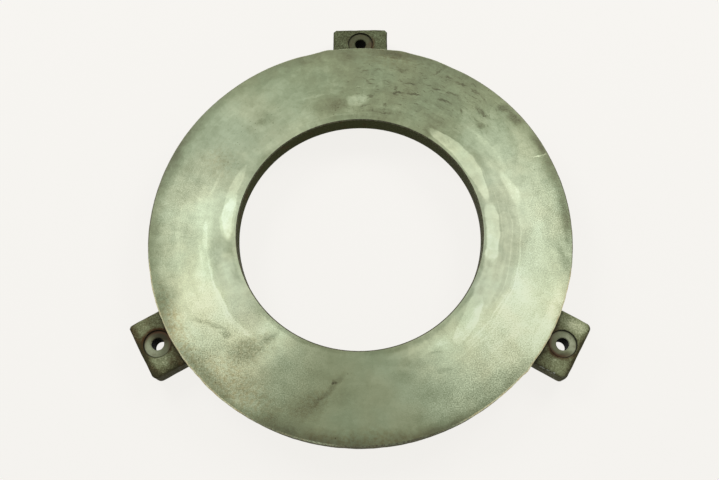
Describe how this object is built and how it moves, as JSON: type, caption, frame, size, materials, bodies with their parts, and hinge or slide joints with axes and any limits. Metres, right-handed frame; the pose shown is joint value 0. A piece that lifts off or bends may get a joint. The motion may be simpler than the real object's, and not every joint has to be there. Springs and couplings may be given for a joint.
{
  "type": "clutch pressure plate",
  "caption": "Flat cast-iron friction ring with spot-faced drive lugs round its rim and a broken fulcrum ridge on the back.",
  "frame": {"origin": "centre of the friction face, on the ring's axis", "axes": "+Z out of the friction face towards the driven disc, +Y through the first drive lug"},
  "size_m": [0.3286, 0.3334, 0.0285],
  "materials": {
    "cast_iron": "worn ground friction face with patchy oxide, rough cast skin elsewhere"
  },
  "bodies": {
    "root": {"pressure_plate": "cast_iron"}
  },
  "joints": []
}
